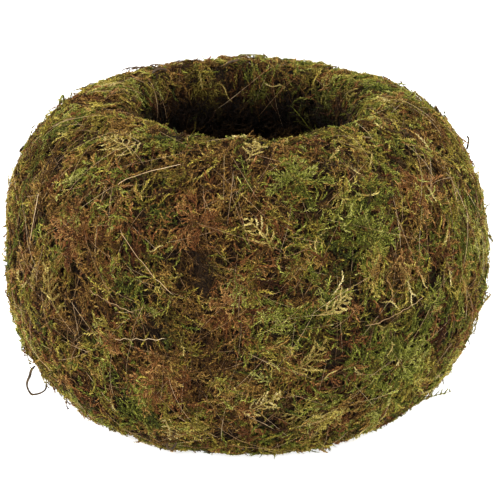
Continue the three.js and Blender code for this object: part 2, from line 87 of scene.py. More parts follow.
def profile():
    """Radius, height and outward direction at even steps along the profile, and the step."""
    under_lip = (
        NECK,
        (NECK[0], NECK[1] - UNDER_LIP["down_from_neck"]),
        (HOLLOW_WIDEST[0], HOLLOW_WIDEST[1] + UNDER_LIP["up_from_hollow"]),
        HOLLOW_WIDEST,
    )
    stretches = [
        np.array([(0.0, 0.0), BASE_EDGE]),
        bezier(quarter(BASE_EDGE, WIDEST, *PULL["belly"])),
        bezier(quarter(CREST, WIDEST, *PULL["shoulder"]))[::-1],
        bezier(quarter(CREST, NECK, *PULL["lip"])),
        bezier(under_lip),
        bezier(quarter(FLOOR_EDGE, HOLLOW_WIDEST, *PULL["bowl"]))[::-1],
        np.array([FLOOR_EDGE, (0.0, FLOOR_EDGE[1])]),
    ]
    points = np.vstack(stretches) * MM
    steps = np.hypot(*np.diff(points, axis=0).T)
    points = points[np.r_[True, steps > 0]]
    along = np.r_[0, np.cumsum(steps[steps > 0])]
    even = np.linspace(0, along[-1], ROWS)
    radius = np.interp(even, along, points[:, 0])
    height = np.interp(even, along, points[:, 1])
    out = np.stack([np.gradient(height), -np.gradient(radius)], axis=1)
    out /= np.linalg.norm(out, axis=1)[:, None]
    return radius, height, out, even


RADIUS, HEIGHT, OUT, ARC = profile()

BASE_ARC = ARC[np.argmax(RADIUS >= BASE_EDGE[0] * MM - 1e-9)]
CREST_ARC = ARC[np.argmax(HEIGHT)]
NECK_ARC = CREST_ARC + 0.5 * math.pi * LIP_RADIUS * MM
LAST_ARC = ARC[-1]
LEAST_RADIUS = 12 * MM  # nearer the axis, strands turn as if they lay this far out


def arc_at(height):
    """The arc at a height, in millimetres, on the outside of the wall."""
    outside = (ARC >= BASE_ARC) & (ARC <= CREST_ARC)
    return np.interp(height * MM, HEIGHT[outside], ARC[outside])


def radius_at(arc, least=0):
    """The wall's distance from the axis at an arc, or `least` where that is more."""
    return np.maximum(np.interp(arc, ARC, RADIUS), least)


def fading(distance, size):
    """1 at no distance, and little beyond the size."""
    return np.exp(-((distance / size) ** 2))


def step_up(past, start, length):
    """0 up to the start and 1 from a length farther on."""
    return np.clip((past - start) / length, 0, 1)


def wrapped(angle):
    """The same angle, between minus and plus half a turn."""
    return (angle + math.pi) % (2 * math.pi) - math.pi


def unit(vectors):
    return vectors / (np.linalg.norm(vectors, axis=-1, keepdims=True) + 1e-12)


# ---- The wall's own surface, felt on the CAD wall ----

FELT_ROWS = 140
FELT_COLUMNS = 160
PROBE_DEPTH = 6 * MM  # the rays that feel for the wall start this far inside it
SWELL_LIMITS = (-3 * MM, 5 * MM)


def feel_wall():
    """How far the CAD wall lies outside the smooth profile, at every row and column."""
    depsgraph = bpy.context.evaluated_depsgraph_get()
    tree = BVHTree.FromObject(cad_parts["moss_wall"], depsgraph)
    felt = np.zeros((FELT_ROWS, FELT_COLUMNS))
    for i, k in enumerate(np.linspace(0, ROWS - 1, FELT_ROWS).astype(int)):
        for j in range(FELT_COLUMNS):
            angle = 2 * math.pi * j / FELT_COLUMNS
            out = Vector((OUT[k, 0] * math.cos(angle), OUT[k, 0] * math.sin(angle), OUT[k, 1]))
            place = Vector((RADIUS[k] * math.cos(angle), RADIUS[k] * math.sin(angle), HEIGHT[k]))
            hit = tree.ray_cast(place - out * PROBE_DEPTH, out)
            felt[i, j] = hit[3] - PROBE_DEPTH if hit[0] else 0
    return np.clip(without_spikes(felt), *SWELL_LIMITS)


def without_spikes(grid):
    """Each value is the median of the 5 by 5 around it, which drops the sunk roots."""
    padded = np.pad(np.pad(grid, ((2, 2), (0, 0)), mode="edge"), ((0, 0), (2, 2)), mode="wrap")
    rows, columns = grid.shape
    around = [padded[i : i + rows, j : j + columns] for i in range(5) for j in range(5)]
    return np.median(around, axis=0)


SWELL = feel_wall()

# Where the moss lies thicker or thinner than the CAD wall: azimuth in degrees (-90 is the front),
# and height, size and thickness in millimetres.
FULLNESS = [
    (180, 100, 34, 1.7), (0, 114, 34, -2.3), (178, 44, 36, -1.7), (0, 28, 30, -1.6),
    (-90, 8, 60, -0.8), (-10, 75, 30, -0.6), (-35, 6, 34, -2.6), (-15, 22, 28, -1.4),
    (-152, 12, 22, -2.0), (90, 125, 30, 0.8),
]


def swell(angle, arc, grid=SWELL):
    """How far the surface lies outside the smooth profile, from a grid of such distances."""
    rows, columns = grid.shape
    row = np.clip(arc / LAST_ARC * (rows - 1), 0, rows - 1.001)
    column = (angle / (2 * math.pi) * columns) % columns
    i, j = row.astype(int), column.astype(int) % columns
    up, across = row - i, column - np.floor(column)
    j2 = (j + 1) % columns
    low = grid[i, j] * (1 - across) + grid[i, j2] * across
    high = grid[i + 1, j] * (1 - across) + grid[i + 1, j2] * across
    return low * (1 - up) + high * up


def dressed_wall():
    """The swell with the thicker and thinner stretches of the moss."""
    rows, columns = SWELL.shape
    arc = np.linspace(0, LAST_ARC, rows)[:, None]
    angle = (np.arange(columns) * 2 * math.pi / columns)[None]
    radius, z = radius_at(arc), np.interp(arc, ARC, HEIGHT)
    full = SWELL.copy()
    for azimuth, height, size, thickness in FULLNESS:
        own_radius, turn = radius_at(arc_at(height)), math.radians(azimuth)
        across = radius * np.cos(angle) - own_radius * math.cos(turn)
        along = radius * np.sin(angle) - own_radius * math.sin(turn)
        distance = np.sqrt(across**2 + along**2 + (z - height * MM) ** 2)
        full += thickness * MM * fading(distance, size * MM)
    return full


DRESSED = dressed_wall()


def over_wall(angle, arc, height=0.0):
    """Places at a height over the wall, and the wall's outward directions there."""
    arc = np.clip(arc, 0, LAST_ARC)
    out_r, out_z = np.interp(arc, ARC, OUT[:, 0]), np.interp(arc, ARC, OUT[:, 1])
    away = swell(angle, arc, DRESSED) + height
    radius = radius_at(arc) + away * out_r
    z = np.interp(arc, ARC, HEIGHT) + away * out_z
    places = np.stack([radius * np.cos(angle), radius * np.sin(angle), z], axis=-1)
    outward = np.stack([out_r * np.cos(angle), out_r * np.sin(angle), out_z], axis=-1)
    return places, outward


def on_chart(places):
    """Angle, arc and height over the wall of places near it: the way back from over_wall."""
    angle = np.arctan2(places[:, 1], places[:, 0])
    radius = np.hypot(places[:, 0], places[:, 1])
    d_radius = radius[:, None] - RADIUS[None]
    d_height = places[:, 2][:, None] - HEIGHT[None]
    nearest = np.argmin(d_radius**2 + d_height**2, axis=1)
    rows = np.arange(len(places))
    away = d_radius[rows, nearest] * OUT[nearest, 0] + d_height[rows, nearest] * OUT[nearest, 1]
    arc = ARC[nearest]
    return angle, arc, away - swell(angle, arc)


# ---- Soft seeded fields over the wall ----

WAVES = 14  # in each field
FIELD_SCALE = 0.7  # keeps most of a field's values between -1 and 1


def soft_field(wavelength):
    """A smooth random field, about -1 to 1, whose lumps are about half the wavelength across."""
    direction = rng.normal(size=(WAVES, 3))
    direction /= np.linalg.norm(direction, axis=1)[:, None]
    wave = direction * (2 * math.pi / (wavelength * MM)) * rng.uniform(0.7, 1.3, (WAVES, 1))
    phase = rng.uniform(0, 2 * math.pi, WAVES)

    def value(places):
        return np.sin(places @ wave.T + phase).sum(axis=-1) * math.sqrt(2 / WAVES) * FIELD_SCALE

    return value


LAY_BROAD = soft_field(90)
LAY_CLOSE = soft_field(26)
CROWDING = soft_field(15)
SHADE = soft_field(11)
HUE = soft_field(24)
CLUMPS = soft_field(17)
CLUMP_HEIGHT = 0.8 * MM
KIND_FIELDS = {kind: [soft_field(wavelength) for wavelength in (28, 10)]
               for kind in ("green", "rust", "olive", "brown")}
KIND_FIELD_SHARES = (0.45, 0.85)
KINKS = [soft_field(6) for _ in range(3)]  # of the wiry pieces, along each axis

# Patches of one kind of moss: azimuth (-90 is the front), height and size in millimetres, and strength.
# Dark patches are dead moss and partly painted shade in gaps; straw patches are pale moss and partly
# painted light on shaded stretches.
PATCHES = {"dark": [
    (-104, 100, 13, 1.1), (-97, 91, 12, 0.8), (-108, 84, 10, 0.7), (-70, 117, 14, 0.6),
    (-92, 82, 12, 0.7), (-75, 64, 8, 0.4), (-70, 92, 7, 0.9), (-100, 122, 10, 0.5),
    (-64, 116, 12, 1.2), (-110, 102, 11, 0.8), (-27, 122, 13, 1.2), (-144, 124, 10, 0.7),
    (-118, 34, 11, 1.0), (-90, 124, 14, 0.6), (-54, 90, 12, 1.1), (-104, 121, 9, 0.6),
    (-112, 24, 10, 0.8),
], "straw": [
    (-160, 112, 14, 1.4), (176, 121, 13, 1.2), (-152, 84, 14, 0.8), (-150, 66, 12, 0.7),
    (-34, 108, 12, 0.7), (-44, 70, 14, 0.5), (-150, 121, 12, 1.3), (-80, 27, 11, 1.6),
    (-77, 81, 10, 1.3), (-65, 37, 13, 1.8), (-38, 79, 10, 1.3), (-176, 92, 16, 1.3),
    (-165, 76, 16, 0.7), (-65, 60, 10, 1.3), (-176, 66, 18, 1.3), (-168, 124, 14, 0.9),
    (132, 125, 16, 0.7),
], "green": [
    (-64, 98, 20, 1.4), (-52, 44, 26, 1.1), (-40, 58, 20, 1.0), (-70, 62, 24, 0.9),
    (-142, 114, 11, 0.6), (24, 127, 26, 0.9), (-160, 15, 14, 0.9), (-29, 8, 18, 1.0),
    (-114, 27, 12, 1.0), (-124, 36, 10, 0.9), (-80, 20, 14, 0.8), (-88, 72, 12, 0.7),
    (-118, 76, 9, 1.0), (-88, 110, 8, 0.9), (70, 126, 22, 0.6), (0, 60, 26, 0.7),
    (70, 70, 30, 1.0), (130, 40, 26, 0.9), (110, 100, 22, 0.8), (-118, 42, 12, 0.8),
    (-105, 104, 9, 0.8), (-92, 71, 12, 0.7),
], "rust": [
    (-96, 119, 10, 1.4), (-130, 99, 12, 1.4), (-97, 86, 10, 1.2), (-71, 48, 11, 1.2),
    (-117, 53, 18, 1.3), (-92, 24, 12, 0.9), (-112, 91, 10, 0.7), (-53, 90, 8, 1.2),
    (-102, 42, 13, 1.1), (-162, 92, 12, 0.9), (-178, 122, 12, 1.0), (-30, 84, 9, 1.0),
    (-25, 120, 8, 1.0), (-84, 100, 9, 1.5), (-146, 40, 14, 1.0), (-137, 26, 12, 1.0),
    (-150, 70, 12, 0.9), (40, 60, 14, 1.0), (95, 50, 14, 1.0), (150, 80, 16, 1.1),
    (-112, 108, 9, 0.8),
], "brown": [
    (-120, 70, 40, 0.9), (-150, 80, 30, 0.7), (-98, 60, 22, 0.8), (-100, 108, 14, 1.1),
    (-90, 118, 14, 0.9), (160, 60, 30, 0.8), (-85, 90, 12, 0.8), (60, 100, 24, 0.8),
    (-84, 123, 13, 1.5), (-100, 122, 13, 1.5), (-112, 117, 12, 1.1), (-110, 88, 16, 0.7),
    (-74, 86, 12, 1.0), (-46, 96, 14, 1.0), (-73, 115, 13, 1.5), (-102, 50, 18, 1.1),
    (-158, 98, 22, 1.1), (-176, 124, 20, 1.1), (-18, 114, 18, 1.1), (-28, 84, 18, 0.9),
    (-140, 120, 16, 0.8), (90, 126, 24, 1.0), (125, 125, 18, 0.7),
]}


def patch_strength(kind, places):
    total = np.zeros(places.shape[:-1])
    for azimuth, height, size, strength in PATCHES.get(kind, []):
        centre, _ = over_wall(np.radians([azimuth]), np.array([arc_at(height)]))
        distance = np.linalg.norm(places - centre[0], axis=-1)
        total += strength * fading(distance, size * MM)
    return total


# Changes over the rim and into the hollow: where each starts, past the crest, the neck or the base's
# edge, and over what length it comes.
UNDER_RIM = (3 * MM, 13 * MM)
DEEP_INSIDE = (4 * MM, 18 * MM)
# Dead moss and painted shade, deep inside and below the foot:
DEAD_AND_SHADED_INSIDE = (-9 * MM, 5 * MM)
DEAD_AND_SHADED_BELOW = (-3 * MM, 4 * MM)
DEAD_AND_SHADED_MOST = 3
# Painted shade under the rim, and painted light deep in the hollow:
RIM_PAINTED_SHADE = 0.74  # of the strands' lightness, under the rim
DEEP_PAINTED_LIGHT = 2.4  # so that the moss deep inside doesn't go black
FRESH_LOSS = 0.7  # of the pull of the green kinds, under the rim


def out_of_light(arc):
    """High deep in the hollow and below the foot, where the moss is dead and is darkened as painted
    shade.
    """
    inside = (arc - NECK_ARC - DEAD_AND_SHADED_INSIDE[0]) / DEAD_AND_SHADED_INSIDE[1]
    below = (BASE_ARC - DEAD_AND_SHADED_BELOW[0] - arc) / DEAD_AND_SHADED_BELOW[1]
    return np.clip(np.maximum(inside, below), -DEAD_AND_SHADED_MOST, DEAD_AND_SHADED_MOST)


def under_rim(arc):
    """From 0 on the rim to 1 below it, inside the hollow."""
    return step_up(arc - CREST_ARC, *UNDER_RIM)


def painted_light_at(arc):
    """How light the strands' tips are: dull with painted shade under the rim, lighter again with
    painted light deep in the hollow.
    """
    return 1 - RIM_PAINTED_SHADE * under_rim(arc) + DEEP_PAINTED_LIGHT * step_up(arc - NECK_ARC, *DEEP_INSIDE)


KIND_PULL = 2.3  # how strongly like kinds of moss keep together
PATCH_PULL = 2.2  # how strongly they keep to their patches


def choose_kinds(places, arc, base_weights):
    """Which of the places each kind of moss has, by the kind's name."""
    weights = []
    for name, base_weight in base_weights.items():
        patch = patch_strength(name, places)
        if name == "dark":
            # dead moss, and painted shade, deep in the hollow and below the foot
            patch = np.maximum(patch, out_of_light(arc))
        if name in ("green", "olive"):
            patch = patch - FRESH_LOSS * under_rim(arc)
        field = sum(share * own_field(places)
                    for share, own_field in zip(KIND_FIELD_SHARES, KIND_FIELDS.get(name, ())))
        weights.append(base_weight * np.exp(KIND_PULL * field + PATCH_PULL * patch))
    weights = np.array(weights)
    shares = np.cumsum(weights / weights.sum(axis=0), axis=0)
    drawn = (rng.random(len(places)) > shares).sum(axis=0)
    return {name: drawn == k for k, name in enumerate(base_weights) if (drawn == k).any()}


# ---- Routes of strands over the wall ----

LEFT_EDGE = math.radians(195)
LEFT_SPREAD = 0.5  # radians
FOOT_SPREAD = 22 * MM
NECK_SPREAD = 5 * MM
SWIRL_BROAD = 1.7  # radians
SWIRL_CLOSE = 0.9
BEND_SHARE = 0.3  # a strand has its own heading this far along it
SWAYS = 1.3  # waves in a strand's length

# Where strands lie, as arrays with a row for each strand and a column for each point on it.
Laid = namedtuple("Laid", "centres outward angles arcs turn heights", defaults=[None] * 4)


def scatter(count, arcs, crowd):
    """Random places between two arcs, even over the wall, thinned where the crowding is low."""
    tries = int(count * (1 + 2 * crowd)) + 1
    fine = np.linspace(*arcs, 2000)
    share = np.cumsum(radius_at(fine) + 1e-4)
    arc = np.interp(rng.random(tries), share / share[-1], fine)
    angle = rng.uniform(0, 2 * math.pi, tries)
    places, _ = over_wall(angle, arc)
    if crowd:
        keep = CROWDING(places) + rng.uniform(-1, 1, tries) * 0.8 > -1 + crowd
        angle, arc, places = angle[keep], arc[keep], places[keep]
    return angle[:count], arc[:count], places[:count]


def lay_at(angle, arc, places):
    """The way the moss lies: up and down at the left edge and inside, round the wall at the foot."""
    left = fading(wrapped(angle - LEFT_EDGE), LEFT_SPREAD)
    foot = fading(arc - BASE_ARC, FOOT_SPREAD)
    inside = 1 / (1 + np.exp(-(arc - NECK_ARC) / NECK_SPREAD))
    swirl = SWIRL_BROAD * LAY_BROAD(places) + SWIRL_CLOSE * LAY_CLOSE(places)
    upright = np.clip(left + inside, 0, 1)
    return swirl * (1 - 0.7 * upright) * (1 - 0.6 * foot) + 0.5 * math.pi * upright


def route(angle, arc, heading, length, curl, heights, sway=0.0):
    """Strands that run over the wall from places on it, at heights for each strand and point."""
    count, points = heights.shape
    share = np.linspace(0, 1, points)
    turn = heading[:, None] + curl[:, None] * (share - BEND_SHARE)
    if sway:
        phase = rng.uniform(0, 2 * math.pi, (count, 1))
        turn = turn + sway * np.sin(2 * math.pi * share * SWAYS + phase)
    step = length / (points - 1)
    arcs = np.empty((count, points))
    angles = np.empty((count, points))
    arcs[:, 0], angles[:, 0] = arc, angle
    for k in range(1, points):
        middle = 0.5 * (turn[:, k - 1] + turn[:, k])
        arcs[:, k] = np.clip(arcs[:, k - 1] + step * np.sin(middle), 0, LAST_ARC)
        radius = radius_at(arcs[:, k], LEAST_RADIUS)
        angles[:, k] = angles[:, k - 1] + step * np.cos(middle) / radius
    return Laid(*over_wall(angles, arcs, heights), angles, arcs, turn, heights)


def picked(laid, own):
    return Laid(*(value[own] for value in laid))


def arched(points, low, high, lift=0.0):
    """Heights of strands that rise from `low` to `high` and, with lift, end above the moss."""
    share = np.linspace(0, 1, points)
    base = low[:, None] + (high - low)[:, None] * np.sin(math.pi * np.minimum(share * 0.62, 0.5))
    return base + np.broadcast_to(lift, len(low))[:, None] * share**3


# ---- Meshes of strands ----

MOST_FACES = 190_000  # in one piece
FLOOR_GAP = 0.05 * MM
U_STEP = 0.004  # between a face's corners on the map, so that each has a width there
LIGHTEST = 0.98  # on the map, from root to tip


class Strands:
    """Collects tapered three-sided strands, each ending in a point, and small leaves."""

    def __init__(self):
        self.blocks = []

    def add(self, laid, radius, tint, light=1.0):
        """Adds laid strands. `tint` is each one's place on its ramp of colours, 0 to 1.

        `light` is how light its tip is on the ramp of painted shade and highlight, from dark root to
        light tip, 0 to 1.
        """
        centres, outward = laid.centres, laid.outward
        count, points, _ = centres.shape
        radius = np.broadcast_to(radius, (count, points))
        along = unit(np.gradient(centres, axis=1))
        across = unit(np.cross(along, outward))
        up = np.cross(across, along)
        corner = np.radians([90, 210, 330])[:, None]
        ring = np.cos(corner) * across[:, :, None] + np.sin(corner) * up[:, :, None]
        rings = centres[:, :-1, None] + radius[:, :-1, None, None] * ring[:, :-1]
        block = np.concatenate([rings.reshape(count, -1, 3), centres[:, -1:]], axis=1)
        faces, u, v = self.template(points)
        self.store(block, faces, np.clip(tint, 0.01, 0.99)[:, None, None] + u,
                   v * np.broadcast_to(light, count)[:, None, None])

    @staticmethod
    def template(points):
        """Faces of one strand, and for each corner a small step in u and its share of the length."""
        faces = [(0, 2, 1)]
        for k in range(points - 2):
            for side in range(3):
                a, b = 3 * k + side, 3 * k + (side + 1) % 3
                faces += [(a, b, b + 3), (a, b + 3, a + 3)]
        tip = 3 * (points - 1)
        last = tip - 3
        faces += [(last + side, last + (side + 1) % 3, tip) for side in range(3)]
        faces = np.array(faces)
        ring = np.minimum(faces // 3, points - 1)
        u = np.where(faces == tip, 0.0, (faces % 3 - 1) * U_STEP)
        v = 0.02 + 0.96 * ring / (points - 1)
        v = np.where((faces == 1) & (ring == 0), 0.0, v)
        return faces, u, v

    def add_leaves(self, roots, along, outward, length, width, tint, share, light):
        """Small pointed leaves with a ridge. `share` is each leaf's place on its shoot, 0 to 1."""
        side = unit(np.cross(along, outward))
        ridge = np.cross(side, along)
        wide = width[..., None]
        corners = [roots + side * wide, roots - side * wide, roots + ridge * wide * 0.6,
                   roots + along * length[..., None]]
        faces = np.array([(0, 1, 3), (0, 2, 1), (0, 3, 2), (1, 2, 3)])
        share = share[:, None, None]
        # painted highlight at each leaf's tip and painted shade at its base, both lighter towards the
        # shoot's tip
        v = np.where(faces == 3, 0.68 + 0.3 * share, 0.04 + 0.26 * share)
        self.store(np.stack(corners, axis=-2), faces,
                   np.clip(tint, 0.02, 0.98)[..., None, None] + (faces % 3 - 1) * U_STEP,
                   v * light[..., None, None])

    def store(self, block, faces, u, v):
        """Keeps alike strands or leaves, in runs of which each fits in one piece."""
        block = block.reshape(-1, *block.shape[-2:])
        block[..., 2] = np.maximum(block[..., 2], FLOOR_GAP)
        uv = np.stack([u, np.minimum(v, LIGHTEST)], axis=-1).astype(np.float32)
        uv = uv.reshape(len(block), -1, 2)
        most = MOST_FACES // len(faces)
        for start in range(0, len(block), most):
            own, own_uv = block[start : start + most], uv[start : start + most]
            corners = faces + (np.arange(len(own)) * own.shape[1])[:, None, None]
            self.blocks.append((own.reshape(-1, 3), corners.reshape(-1, 3), own_uv.reshape(-1, 2)))

    def pieces(self, name, kind):
        """The strands as one object or, where they have too many faces, several."""
        groups = [[]]
        for block in self.blocks:
            if sum(len(faces) for _, faces, _ in groups[-1] + [block]) > MOST_FACES:
                groups.append([])
            groups[-1].append(block)
        names = [name] if len(groups) == 1 else [f"{name}_{i + 1}" for i in range(len(groups))]
        return [as_piece(own_name, mesh_of(own_name, group), MATERIALS[kind])
                for own_name, group in zip(names, groups)]


def mesh_of(name, blocks):
    vertices, faces, uv = zip(*blocks)
    starts = np.cumsum([0, *map(len, vertices[:-1])])
    faces = np.concatenate([own + start for own, start in zip(faces, starts)]).astype(np.int32)
    vertices = np.concatenate(vertices).astype(np.float32)
    mesh = bpy.data.meshes.new(name)
    mesh.vertices.add(len(vertices))
    mesh.vertices.foreach_set("co", vertices.ravel())
    mesh.loops.add(faces.size)
    mesh.loops.foreach_set("vertex_index", faces.ravel())
    mesh.polygons.add(len(faces))
    mesh.polygons.foreach_set("loop_start", np.arange(0, faces.size, 3, dtype=np.int32))
    layer = mesh.uv_layers.new(name="OFBake")
    layer.uv.foreach_set("vector", np.concatenate(uv).ravel())
    mesh.update()
    mesh.validate()
    return mesh


def new_object(name, data):
    made = bpy.data.objects.new(name, data)
    bpy.context.scene.collection.objects.link(made)
    return made


def as_piece(name, mesh, material):
    piece = new_object(name, mesh)
    mesh.polygons.foreach_set("use_smooth", np.ones(len(mesh.polygons), bool))
    mesh.materials.append(material)
    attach(piece, "root")
    return piece


# ---- Materials ----


def linear(hex_colour):
    """A colour such as "#6b6a2e" as linear RGBA."""
    channels = [int(hex_colour[i : i + 2], 16) / 255 for i in (1, 3, 5)]
    return [c / 12.92 if c <= 0.04045 else ((c + 0.055) / 1.055) ** 2.4 for c in channels] + [1.0]


def add_ramp(tree, factor, places, colours):
    """The colour that a ramp gives for a factor. Its colours lie at places from 0 to 1."""
    node = tree.nodes.new("ShaderNodeValToRGB")
    elements = node.color_ramp.elements
    while len(elements) < len(places):
        elements.new(0.5)
    for element, place, colour in zip(elements, places, colours):
        element.position = place
        element.color = linear(colour) if isinstance(colour, str) else colour
    tree.links.new(factor, node.inputs["Fac"])
    return node.outputs["Color"]


def set_inputs(node, values):
    for name, value in values.items():
        node.inputs[name].default_value = value


def new_material(name, roughness):
    material = bpy.data.materials.new(name)
    material.use_nodes = True
    shader = material.node_tree.nodes["Principled BSDF"]
    set_inputs(shader, {"Roughness": roughness, "Specular IOR Level": 0.12})
    return material, material.node_tree, shader


# Painted shade and highlight along the strands: how dark they are at a place between root and tip.
MIDDLE = 0.4
MIDDLE_SHADE = (0.58, 0.53, 0.46, 1)


def strand_material(name, colours, root=0.05, tip=2.05, roughness=0.8):
    """Each strand's tint sets its colour; towards its root it is browner and darker, the darkness
    painted shade, and towards its tip lighter, as painted highlight.
    """
    material, tree, shader = new_material(name, roughness)
    uv = tree.nodes.new("ShaderNodeUVMap")
    uv.uv_map = "OFBake"
    split = tree.nodes.new("ShaderNodeSeparateXYZ")
    tree.links.new(uv.outputs["UV"], split.inputs[0])
    mix = tree.nodes.new("ShaderNodeMix")
    mix.data_type = "RGBA"
    mix.blend_type = "MULTIPLY"
    set_inputs(mix, {"Factor": 1})
    hue = add_ramp(tree, split.outputs["X"], np.linspace(0, 1, 6), colours.split())
    # painted shade at the root and painted highlight at the tip, up to about twice the colour
    shades = [(root, root * 0.88, root * 0.8, 1), MIDDLE_SHADE, (tip, tip, tip * 0.97, 1)]
    shade = add_ramp(tree, split.outputs["Y"], (0, MIDDLE, 1), shades)
    tree.links.new(hue, mix.inputs[6])
    tree.links.new(shade, mix.inputs[7])
    tree.links.new(mix.outputs[2], shader.inputs["Base Color"])
    return material


MATERIALS = {
    # The dark kind is dead moss, and is also laid as painted shade in the hollow, below the foot and in
    # gaps.
    "dark": strand_material("dead moss and painted shade", "#1e1409 #291c0d #352511 #422f17 #4d3c1e #5e4a28"),
    "brown": strand_material("brown moss", "#2c1a0a #432b10 #5d421c #735625 #896b31 #a4894c"),
    "olive": strand_material("olive moss", "#3a3010 #554818 #6e6224 #85782b #998b3b #b5a75a"),
    "green": strand_material("green moss", "#2c300f #454c17 #5d6420 #75782a #8b8d3c #a4a25e"),
    "rust": strand_material("rust moss", "#361c0c #502c14 #6a401f #785029 #8c6537 #a58250"),
    "straw": strand_material("straw moss", "#7a6a36 #918043 #a59451 #b7a764 #c6b87c #d6ca9a",
                             root=0.5, tip=1.75),
    "stem": strand_material("dry stem", "#64492f #7d5f42 #957652 #aa8c66 #bda27d #cdb795",
                            root=0.8, tip=1.25, roughness=0.5),
}


def mottled_material(name, roughness, places, colours, **settings):
    """A material coloured by a noise with these settings, and the noise."""
    material, tree, shader = new_material(name, roughness)
    noise = tree.nodes.new("ShaderNodeTexNoise")
    set_inputs(noise, settings)
    colour = add_ramp(tree, noise.outputs["Fac"], places, colours)
    tree.links.new(colour, shader.inputs["Base Color"])
    return material, noise


def felt_and_painted_shade_material():
    """The felt below the strands: near black, as painted shade in the gaps between them as well as dark
    felt, with dull brown fibres.
    """
    colours = ("#080502", "#20150a", "#4d3a1c")
    return mottled_material("felt below", 0.95, (0.42, 0.54, 0.66), colours,
                            Scale=190, Detail=6, Roughness=0.72, Distortion=1.6)[0]


def wiry_material(name, *colours):
    """Dry stem or root, mottled along its length."""
    material, noise = mottled_material(name, 0.6, (0.35, 0.65), colours, Scale=400)
    tree = material.node_tree
    coordinates = tree.nodes.new("ShaderNodeTexCoord")
    tree.links.new(coordinates.outputs["Object"], noise.inputs["Vector"])
    return material


# ---- The felt mat below the strands ----

MAT_INSET = 2.0 * MM
MAT_RELIEF = 0.3 * MM
MAT_FLAT_FOOT = 6 * MM  # the relief comes up over this length past the base's edge
MAT_ROWS = 250
MAT_COLUMNS = 390


def add_mat():
    """A closed mat, over the outside, the rim and the hollow."""
    arcs = np.linspace(0, LAST_ARC, MAT_ROWS)
    angles = np.arange(MAT_COLUMNS) * 2 * math.pi / MAT_COLUMNS
    angle, arc = np.meshgrid(angles, arcs[1:-1])
    places, _ = over_wall(angle, arc)
    relief = CLUMP_HEIGHT * CLUMPS(places) + MAT_RELIEF * SHADE(places) - MAT_INSET
    relief *= step_up(arc - BASE_ARC, 0, MAT_FLAT_FOOT)
    places, _ = over_wall(angle, arc, relief)
    places[..., 2] = np.maximum(places[..., 2], 0)
    ends, _ = over_wall(np.zeros(2), np.array([0.0, LAST_ARC]))
    vertices = np.vstack([places.reshape(-1, 3), ends])
    bottom, top = len(vertices) - 2, len(vertices) - 1
    last = bottom - MAT_COLUMNS
    faces = []
    for j in range(MAT_COLUMNS):
        k = (j + 1) % MAT_COLUMNS
        faces += [(bottom, k, j), (top, last + j, last + k)]
        faces += [(low + j, low + k, low + MAT_COLUMNS + k, low + MAT_COLUMNS + j)
                  for low in range(0, last, MAT_COLUMNS)]
    mesh = bpy.data.meshes.new("felt_mat")
    mesh.from_pydata(vertices.tolist(), [], faces)
    piece = as_piece("felt_mat", mesh, felt_and_painted_shade_material())
    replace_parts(piece, "moss_wall")


# ---- Leafy strands ----

TINT_MEAN = 0.46
TINT_SPREAD = 0.14
# How many leaves a strand has, and their lengths and widths in millimetres.
RIB_LEAVES = (30, (0.8, 1.2), (0.22, 0.3))
BRANCHLET_LEAVES = (11, (0.8, 1.2), (0.22, 0.32))
LEAF_TURNS = np.radians([-85, 25, 80, -30, -60, 55, 0])  # round the shoot, from its outward side


def tapered(radius, points, root=0.7):
    """Radii along strands, or along one strand, that are thickest near the middle."""
    shape = np.interp(np.linspace(0, 1, points), [0, 0.3, 0.7, 1], [root, 1, 0.85, 0.35])
    return np.asarray(radius)[..., None] * shape


def varied(tint, spread):
    return np.clip(tint + rng.normal(0, spread, len(tint)), 0.02, 0.98)


def tints(places, arc, bias=0.0):
    """Places on a ramp: neighbours are alike, raised clumps lighter and low spots and the hollow darker
    as painted light and shade, with the odd pale or dark one.
    """
    # the clumps' term is painted light on their crests and painted shade between them
    soft = TINT_MEAN + 0.16 * HUE(places) + 0.1 * SHADE(places) + 0.14 * CLUMPS(places) + bias
    # painted shade inside the hollow, past the crest
    soft -= 0.3 * step_up(arc - CREST_ARC, 5 * MM, 12 * MM)
    return varied(soft, TINT_SPREAD)


def leaf_shoots(strands, laid, tint, leaves, leaning=0.95):
    """Small pointed leaves all round the shoots, which lean towards their tips."""
    leaves, length, width = leaves
    points = laid.centres.shape[1]
    count = len(tint)
    shares = np.linspace(0.06, 1, leaves)
    at = shares * (points - 1)
    k = np.minimum(at.astype(int), points - 2)
    part = (at - k)[:, None]
    centres = laid.centres[:, k] * (1 - part) + laid.centres[:, k + 1] * part
    along = unit(laid.centres[:, k + 1] - laid.centres[:, k])
    outward = laid.outward[:, k]
    across = np.cross(along, outward)
    turn = np.resize(LEAF_TURNS, leaves) + rng.normal(0, 0.3, (count, leaves))
    sideways = np.cos(turn)[..., None] * outward + np.sin(turn)[..., None] * across
    lean = (rng.normal(leaning, 0.25, (count, leaves)) * (1 - 0.55 * shares**3))[..., None]
    direction = np.cos(lean) * along + np.sin(lean) * sideways
    size = np.interp(shares, [0, 0.25, 0.8, 1], [0.6, 1, 0.95, 0.6])
    size = size * rng.uniform(0.75, 1.25, (count, leaves))
    lengths = size * rng.uniform(*length, count)[:, None] * MM
    widths = size * rng.uniform(*width, count)[:, None] * MM
    tone = tint[:, None] + rng.normal(0.03, 0.18, (count, leaves))
    light = painted_light_at(laid.arcs[:, k])
    strands.add_leaves(centres, direction, sideways, lengths, widths, tone, shares, light)


def add_leafy(strands, laid, radius, tint, leaves, light=1.0, root=0.7):
    strands.add(laid, tapered(radius, laid.arcs.shape[1], root), tint, light)
    leaf_shoots(strands, laid, tint, leaves)


# ---- Fronds ----

FROND_CURL = 0.27
FROND_LENGTH = (9, 17)
